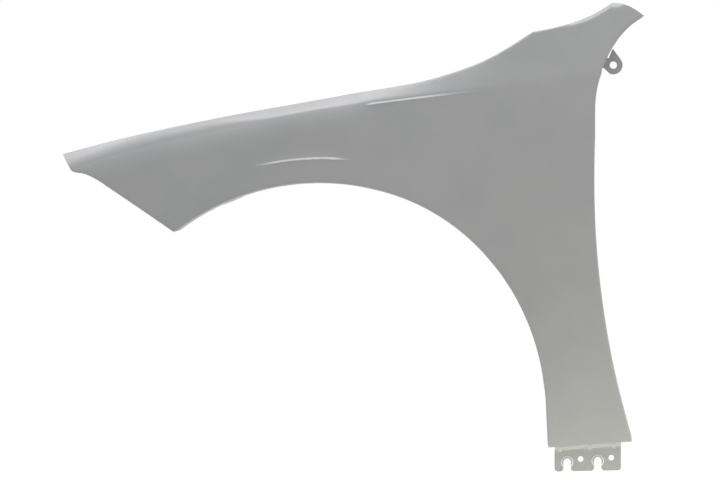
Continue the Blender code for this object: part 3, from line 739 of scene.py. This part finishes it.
def dartPoints():
    points = []
    for share in tab["darts"]:
        x = tabFront + tabLength * share
        centre = Vector((x, sillHeight(x) - tab["dartDrop"]))
        points.append(centre)
        for i, radius in enumerate(np.linspace(*guides["dartRings"])):
            points += ring(centre, radius * mm, 8 + 3 * i, 0.3 * i)  # more points and a turn further out
    return points


def nearest(points, others):
    tree = kdtree.KDTree(len(others))
    for i, p in enumerate(others):
        tree.insert((p[0], p[1], 0), i)
    tree.balance()
    return np.array([tree.find((p[0], p[1], 0))[2] for p in points])


def piercedBlank(loop):
    # the flat blank in triangles: its outline, its pin holes and every guide row
    points = list(loop)
    edges = [(i, (i + 1) % len(loop)) for i in range(len(loop))]
    pins = [tabFront + tabLength * share for share in tab["pins"]]
    holes = []
    for x in pins:
        centre = Vector((x, sillFront.y - tab["pinDrop"] + tab["slotSlope"] * (x - pins[0])))
        holes.append(ring(centre, tab["pinRadius"], fineness["holeSides"]))
        start = len(points)
        points += holes[-1]
        edges += [(start + i, start + (i + 1) % len(holes[-1])) for i in range(len(holes[-1]))]

    skin, onTab = guideRows()
    dartRows = [[p] for p in dartPoints()]
    kinds = ((dartRows, guides["dartClear"]), (onTab, guides["tabClear"]), (skin, guides["skinClear"]))
    for rows, clear in kinds:
        for row in rows:
            good = inside(row, loop) & (nearest(row, loop) > clear)
            good &= nearest(row, points) > fineness["closest"]
            last = None
            for p, ok in zip(row, good):
                if ok:
                    points.append(p)
                    if last is not None:
                        edges.append((last, len(points) - 1))
                last = len(points) - 1 if ok else None

    # a lattice of equal triangles fills the rest, finer on the tab
    for step, (lowest, highest) in (
        (fineness["facet"], guides["latticeUp"]), (fineness["tabFacet"], guides["footUp"]),
    ):
        rowGap = step * math.sqrt(3) / 2
        lattice = []
        for r in range(int((highest - lowest) / rowGap) + 1):
            shift = step / 2 if r % 2 else 0.0
            xs = np.arange(guides["latticeAlong"][0] + shift, guides["latticeAlong"][1], step)
            lattice += [(x, lowest + r * rowGap) for x in xs]
        lattice = np.array(lattice)
        lattice = lattice[inside(lattice, loop)]
        lattice = lattice[nearest(lattice, points) > guides["latticeClear"] * step]
        points += [Vector(p) for p in lattice]

    flat, _, triangles, sources, _, _ = delaunay_2d_cdt(points, edges, [], 0, fineness["weld"])
    middles = np.array([np.mean([tuple(flat[i]) for i in t], 0) for t in triangles])
    kept = inside(middles, loop)
    for hole in holes:
        kept &= ~inside(middles, hole)
    return flat, [t for t, keep in zip(triangles, kept) if keep], sources


def addFold(bm, edgeVerts, each):
    # the fold's strips, grown from the blank's edge
    rows = []
    for vert, start in zip(edgeVerts, each["stations"]):
        nearStart = max(1 - (start["distance"] - each["start"]) / fold["taperRun"], 0.0)
        nearEnd = max(1 - (each["end"] - start["distance"]) / fold["taperRun"], 0.0)
        trim = 0.0 if each["ear"] else fold["endTaper"] * (nearStart - nearEnd)
        row = [vert]
        for p in foldedPath(start, each["steps"])[1:]:
            row.append(bm.verts.new(p + start["along"] * trim * (p - start["place"]).length))
        rows.append(row)
    for rowA, rowB in zip(rows, rows[1:]):
        for corners in zip(rowA, rowB, rowB[1:], rowA[1:]):
            bm.faces.new(corners)
    return rows


def flattenPads(rows, each):
    # each bolt pad of the rail is pressed flat, a little below the rest
    lastRun = len(fineness["strips"]) + 1
    half = fold["padLength"] / 2 + fold["padSlack"]
    for centre in each["centres"]:
        near = [(row, s) for row, s in zip(rows, each["stations"]) if abs(s["distance"] - centre) < half]
        middle = min(near, key=lambda pair: abs(pair[1]["distance"] - centre))[0][-1].co.copy()
        first, last = near[0][0][-1].co, near[-1][0][-1].co
        slope = (last.z - first.z) / (last.x - first.x)
        for row, _ in near:
            for vert in row[-lastRun:]:
                vert.co.z = middle.z - fold["padDepth"] + slope * (vert.co.x - middle.x)


def addEar(bm, rows):
    # the flat lug on the end of its neck, with the point and the bolt hole
    lastRun = len(fineness["strips"]) + 1
    for row in rows:
        for vert in row[-lastRun:]:
            vert.co.y = ear["plane"]
    neck = [row[-1] for row in reversed(rows)]
    neckTop = Vector((neck[-1].co.x, neck[-1].co.z))
    touch = math.atan2(ear["point"].y, ear["point"].x) - math.acos(ear["radius"] / ear["point"].length)
    angles = np.linspace(touch, ear["foot"], fineness["earSteps"])
    arc = [earCentre + Vector((math.cos(a), math.sin(a))) * ear["radius"] for a in angles]
    free = rounded([(neckTop, 0), (earCentre + ear["point"], ear["pointRadius"]), (arc[0], 0)])[1:] + arc[1:]
    freeVerts = [bm.verts.new((p.x, ear["plane"], p.y)) for p in free]
    bolt = ring(earCentre, ear["hole"], fineness["holeSides"])
    hole = [bm.verts.new((p.x, ear["plane"], p.y)) for p in bolt]
    edges = []
    for loop in (neck + freeVerts, hole):
        for a, b in zip(loop, loop[1:] + loop[:1]):
            edges.append(bm.edges.get((a, b)) or bm.edges.new((a, b)))
    bmesh.ops.triangle_fill(bm, edges=edges, use_beauty=True)


def pressSheet(folds):
    loop, ranges = outlineLoop(folds)
    print("fender: outline of", len(loop), "points")
    flat, triangles, sources = piercedBlank(loop)
    bm = bmesh.new()
    verts = [bm.verts.new(p) for p in formed([tuple(p) for p in flat])]
    ofPoint = {origin: verts[i] for i, origins in enumerate(sources) for origin in origins}
    for t in triangles:
        bm.faces.new([verts[i] for i in t])
    for each, first in ranges:
        rows = addFold(bm, [ofPoint[first + i] for i in range(len(each["stations"]))], each)
        if each["line"] == "hood":
            flattenPads(rows, each)
        if each["ear"]:
            addEar(bm, rows)
    bmesh.ops.delete(bm, geom=[v for v in bm.verts if not v.link_faces], context="VERTS")
    bmesh.ops.recalc_face_normals(bm, faces=bm.faces)
    if sum(face.normal.y * face.calc_area() for face in bm.faces) > 0:
        bmesh.ops.reverse_faces(bm, faces=bm.faces)
    bmesh.ops.translate(bm, vec=(-sillMount.x, 0, -sillMount.y), verts=bm.verts)
    mesh = bpy.data.meshes.new("fenderSkin")
    bm.to_mesh(mesh)
    bm.free()
    print("fender: pressed,", len(mesh.polygons), "facets on one side")
    return mesh


def holeCutters(folds):
    cutters = bpy.data.collections.new("holeCutters")
    bpy.context.scene.collection.children.link(cutters)
    for each in folds:
        for distance in each["centres"]:
            start = station(lines[each["line"]], distance, each["radius"])
            path = foldedPath(start, each["steps"])
            runStart = path[-len(fineness["strips"]) - 1]
            run = path[-1] - runStart
            bpy.ops.mesh.primitive_cylinder_add(
                vertices=fineness["holeSides"], radius=each["hole"], depth=fineness["cutterDepth"],
            )
            cutter = bpy.context.object
            cutter.location = runStart + run * each["reach"] - Vector((sillMount.x, 0, sillMount.y))
            cutter.rotation_mode = "QUATERNION"
            cutter.rotation_quaternion = run.cross(start["along"]).to_track_quat("Z", "Y")
            for owner in cutter.users_collection:
                owner.objects.unlink(cutter)
            cutters.objects.link(cutter)
    return cutters


def makeFender():
    folds = foldPlan()
    panel = bpy.data.objects.new("fenderPanel", pressSheet(folds))
    bpy.context.scene.collection.objects.link(panel)
    shell = panel.modifiers.new("sheet", "SOLIDIFY")
    shell.thickness = size["sheet"]
    shell.offset = -1
    shell.use_even_offset = False
    cutters = holeCutters(folds)
    pierce = panel.modifiers.new("flangeHoles", "BOOLEAN")
    pierce.operand_type = "COLLECTION"
    pierce.collection = cutters
    pierce.solver = "EXACT"
    evaluated = panel.evaluated_get(bpy.context.evaluated_depsgraph_get())
    finished = bpy.data.meshes.new_from_object(evaluated)
    panel.modifiers.clear()
    panel.data = finished
    for cutter in list(cutters.objects):
        bpy.data.objects.remove(cutter, do_unlink=True)
    bpy.data.collections.remove(cutters)
    finished.shade_smooth()
    finished.set_sharp_from_angle(angle=fineness["sharpAngle"])
    print("fender: folded and pierced,", len(finished.polygons), "facets")
    return panel


def hexToLinear(colour):
    # sRGB hex to the linear value that Blender's sockets hold
    channels = [int(colour[i:i + 2], 16) / 255 for i in (1, 3, 5)]
    return [c / 12.92 if c <= 0.04045 else ((c + 0.055) / 1.055) ** 2.4 for c in channels] + [1.0]


def addNode(tree, kind, values=None, links=None, **settings):
    node = tree.nodes.new(kind)
    for name, setting in settings.items():
        setattr(node, name, setting)
    for socket, value in (values or {}).items():
        node.inputs[socket].default_value = value
    for socket, source in (links or {}).items():
        tree.links.new(source, node.inputs[socket])
    return node


# Electrocoat primer on pressed steel: the panel is dipped and baked, so the film is even inside and
# out. It gives a satin mid grey with a wide soft sheen, a fine orange peel and faint clouding where
# the film is thicker, plus a painted highlight round the rims of the two slot pads.
primer = {
    "colour": "#989a98",
    "cloud": "#949695",       # where the film is thicker
    "cloudSize": 90 * mm,
    "cloudFrom": 0.38,         # levels of the noise between which the cloud sets in
    "cloudTo": 0.66,
    "roughness": 0.42,
    "roughnessSpread": 0.03,
    "ior": 1.5,
    "peelSize": 3 * mm,        # real peel is about 1 mm; drawn coarser so that it shows
    "peelDepth": 0.05 * mm,
    "peelStrength": 0.12,
    "speck": "#7f807f",
    "speckGap": 26 * mm,
    "speckSize": 0.5 * mm,
    "speckEdge": 1.6,          # its faint edge reaches this many times its size
    "speckStrength": 0.6,
    "padRimHighlight": "#dcddd9",         # painted highlight: a pale ring on the rims of the two slot pads, in place of the light they catch
    "padRimHighlightHalfWidth": 1.2 * mm,
}


def eCoatPrimer():
    material = bpy.data.materials.new("eCoatPrimerOnPressedSteel")
    material.use_nodes = True
    tree = material.node_tree
    tree.nodes.clear()
    place = addNode(tree, "ShaderNodeTexCoord").outputs["Object"]

    # a Mix node set to colours takes its share on socket 0 and its two colours on 6 and 7
    clouds = addNode(tree, "ShaderNodeTexNoise", {
        "Scale": 1 / primer["cloudSize"], "Detail": 4.0, "Roughness": 0.6,
    }, {"Vector": place})
    cloudShare = addNode(tree, "ShaderNodeMapRange", {
        "From Min": primer["cloudFrom"], "From Max": primer["cloudTo"],
    }, {"Value": clouds.outputs["Fac"]})
    colour = addNode(tree, "ShaderNodeMix", {
        6: hexToLinear(primer["colour"]), 7: hexToLinear(primer["cloud"]),
    }, {0: cloudShare.outputs["Result"]}, data_type="RGBA")

    # a few dust specks baked into the film
    speckSize = primer["speckSize"] / primer["speckGap"]
    specks = addNode(tree, "ShaderNodeTexVoronoi", {"Scale": 1 / primer["speckGap"]}, {"Vector": place})
    speckShare = addNode(tree, "ShaderNodeMapRange", {
        "From Min": speckSize, "From Max": speckSize * primer["speckEdge"],
        "To Min": primer["speckStrength"], "To Max": 0.0,
    }, {"Value": specks.outputs["Distance"]})
    colour = addNode(tree, "ShaderNodeMix", {7: hexToLinear(primer["speck"])}, {
        0: speckShare.outputs["Result"], 6: colour.outputs[2],
    }, data_type="RGBA")

    # painted highlight: a pale ring round each pad's rim, set by its distance from the slot end
    for x in slotPlaces:
        centre = slotEnd(x) - sillMount
        padMiddle = (centre.x, -size["sheet"] - tab["padHeight"] / 2, centre.y)
        reach = addNode(tree, "ShaderNodeVectorMath", {1: padMiddle}, {0: place}, operation="DISTANCE")
        fromRim = addNode(tree, "ShaderNodeMath", {
            1: tab["padRadius"] - tab["padEdge"] / 2,
        }, {0: reach.outputs["Value"]}, operation="SUBTRACT")
        gap = addNode(tree, "ShaderNodeMath", links={0: fromRim.outputs["Value"]}, operation="ABSOLUTE")
        paintedHighlightShare = addNode(tree, "ShaderNodeMapRange", {
            "From Max": primer["padRimHighlightHalfWidth"], "To Min": 1.0, "To Max": 0.0,
        }, {"Value": gap.outputs["Value"]})
        colour = addNode(tree, "ShaderNodeMix", {7: hexToLinear(primer["padRimHighlight"])}, {
            0: paintedHighlightShare.outputs["Result"], 6: colour.outputs[2],
        }, data_type="RGBA")

    # the sheen varies a little with the film, and the peel is a very shallow bump
    sheen = addNode(tree, "ShaderNodeMapRange", {
        "To Min": primer["roughness"] - primer["roughnessSpread"],
        "To Max": primer["roughness"] + primer["roughnessSpread"],
    }, {"Value": clouds.outputs["Fac"]})
    peel = addNode(tree, "ShaderNodeTexNoise", {
        "Scale": 1 / primer["peelSize"], "Detail": 2.0,
    }, {"Vector": place})
    bump = addNode(tree, "ShaderNodeBump", {
        "Strength": primer["peelStrength"], "Distance": primer["peelDepth"],
    }, {"Height": peel.outputs["Fac"]})

    shader = addNode(tree, "ShaderNodeBsdfPrincipled", {"IOR": primer["ior"], "Metallic": 0.0}, {
        "Base Color": colour.outputs[2],
        "Roughness": sheen.outputs["Result"],
        "Normal": bump.outputs["Normal"],
    })
    addNode(tree, "ShaderNodeOutputMaterial", links={"Surface": shader.outputs["BSDF"]})
    return material


panel = makeFender()
panel.data.materials.clear()
panel.data.materials.append(eCoatPrimer())
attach(panel, "root")
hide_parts("fender_panel")
print("primer: painted")


# Studio: a long soft light overhead, white surroundings and a white floor. Small low lights stand for
# the light that the white table threw back up at the foot, and one lifts the nose.
studio = {
    "floorDrop": 0.30,
    "floorSize": 40.0,
    "middle": -0.35,           # x of the panel's middle
    "floorColour": "#e6e6e4",
    "floorGlow": 0.54,         # seen only, so that the lit floor reads as white and keeps its shadow
    "worldSeen": 1.0,
    "worldLight": 0.6,
    "lights": {
        # name: (place, aimed at, width, height, watts, colour)
        "overhead": ((-0.35, -0.34, 2.6), (-0.35, 0.0, 0.4), 3.2, 0.9, 67.0, "#faf6ff"),
        "footSide": ((0.5, -0.35, 0.05), (0.0, 0.0, 0.15), 0.4, 0.3, 1.3, "#fff9e8"),
        "footUnder": ((0.0, -0.12, -0.27), (0.0, 0.0, 0.05), 0.5, 0.15, 0.95, "#fff9e8"),
        "nose": ((-1.12, 0.45, 1.15), (-0.84, 0.1, 0.5), 0.3, 0.3, 1.2, "#faf6ff"),
    },
}


def seenOrLit(tree):
    # 1 for what the camera sees, straight or in a reflection, and 0 for the light that falls on things
    path = addNode(tree, "ShaderNodeLightPath").outputs
    direct = addNode(tree, "ShaderNodeMath", links={
        0: path["Is Camera Ray"], 1: path["Is Glossy Ray"],
    }, operation="MAXIMUM")
    seen = addNode(tree, "ShaderNodeMath", links={
        0: direct.outputs["Value"], 1: path["Is Transmission Ray"],
    }, operation="MAXIMUM")
    return seen.outputs["Value"]


def makeFloor():
    height = cadBox[0].z - studio["floorDrop"]
    bpy.ops.mesh.primitive_plane_add(size=studio["floorSize"], location=(studio["middle"], 0, height))
    floor = bpy.context.object
    floor.name = "studioFloor"
    paper = bpy.data.materials.new("whiteBackdropPaper")
    paper.use_nodes = True
    tree = paper.node_tree
    tree.nodes.clear()
    matt = addNode(tree, "ShaderNodeBsdfDiffuse", {"Color": hexToLinear(studio["floorColour"])})
    level = addNode(tree, "ShaderNodeMapRange", {
        "To Min": 0.0, "To Max": studio["floorGlow"],
    }, {"Value": seenOrLit(tree)})
    glow = addNode(tree, "ShaderNodeEmission", {"Color": (1, 1, 1, 1)}, {"Strength": level.outputs["Result"]})
    both = addNode(tree, "ShaderNodeAddShader", links={0: matt.outputs["BSDF"], 1: glow.outputs["Emission"]})
    addNode(tree, "ShaderNodeOutputMaterial", links={"Surface": both.outputs["Shader"]})
    floor.data.materials.append(paper)


def makeSurroundings():
    world = bpy.data.worlds.new("whiteSurroundings")
    world.use_nodes = True
    tree = world.node_tree
    tree.nodes.clear()
    level = addNode(tree, "ShaderNodeMapRange", {
        "To Min": studio["worldLight"], "To Max": studio["worldSeen"],
    }, {"Value": seenOrLit(tree)})
    sky = addNode(tree, "ShaderNodeBackground", {"Color": (1, 1, 1, 1)}, {
        "Strength": level.outputs["Result"],
    })
    addNode(tree, "ShaderNodeOutputWorld", links={"Surface": sky.outputs["Background"]})
    bpy.context.scene.world = world


def makeLights():
    for name, (place, aim, width, height, watts, colour) in studio["lights"].items():
        lamp = bpy.data.lights.new(name, "AREA")
        lamp.shape = "RECTANGLE"
        lamp.size = width
        lamp.size_y = height
        lamp.energy = watts
        lamp.color = hexToLinear(colour)[:3]
        light = bpy.data.objects.new(name, lamp)
        light.location = place
        light.rotation_euler = (Vector(aim) - Vector(place)).to_track_quat("-Z", "Y").to_euler()
        bpy.context.scene.collection.objects.link(light)


makeFloor()
makeSurroundings()
makeLights()
bpy.context.scene.view_settings.view_transform = "Standard"
print("studio: lit")
